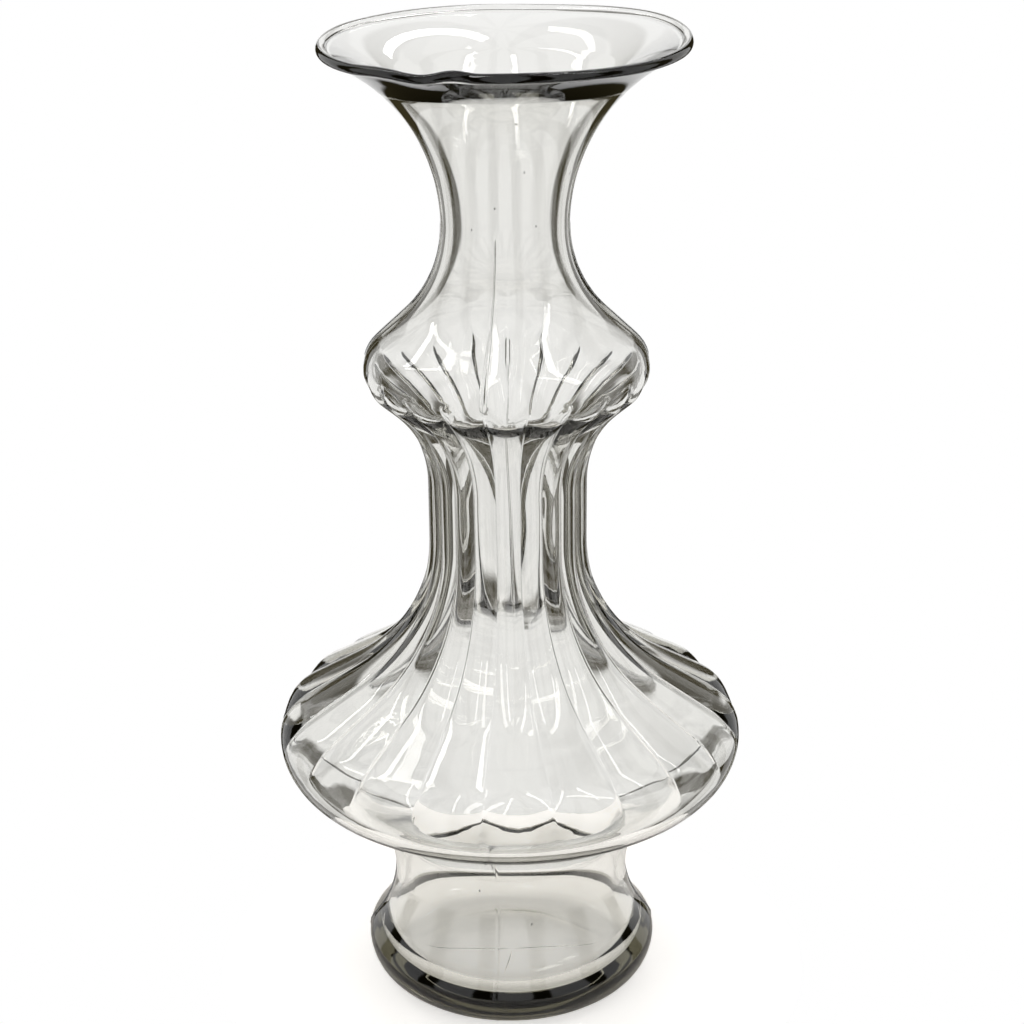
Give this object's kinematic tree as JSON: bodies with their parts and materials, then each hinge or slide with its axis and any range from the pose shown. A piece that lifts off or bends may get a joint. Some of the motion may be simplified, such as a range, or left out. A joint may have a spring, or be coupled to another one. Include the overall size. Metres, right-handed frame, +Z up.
{
  "type": "hyacinth forcing vase",
  "caption": "Tall clear blown-glass forcing vase with flared mouth, narrow neck, ridged knop, fluted column, wide fluted bulb and waisted hollow foot; it stands on its flat base.",
  "frame": {"origin": "centre of the base, on the surface the vase stands on", "axes": "+Z up along the vase's axis, -Y towards the viewer of the picture, +X to their right"},
  "size_m": [0.191, 0.191, 0.4],
  "materials": {
    "clear_glass": "clear, faintly grey-olive, glossy"
  },
  "bodies": {
    "root": {"rolled_rim": "clear_glass", "mouth": "clear_glass", "neck": "clear_glass", "knop_shoulder": "clear_glass", "knop_skirt": "clear_glass", "fluted_column": "clear_glass", "bulb_flare": "clear_glass", "bulb_shoulder": "clear_glass", "bulb_underside": "clear_glass", "foot_flare": "clear_glass", "foot_wall": "clear_glass", "foot_base": "clear_glass"}
  },
  "joints": []
}
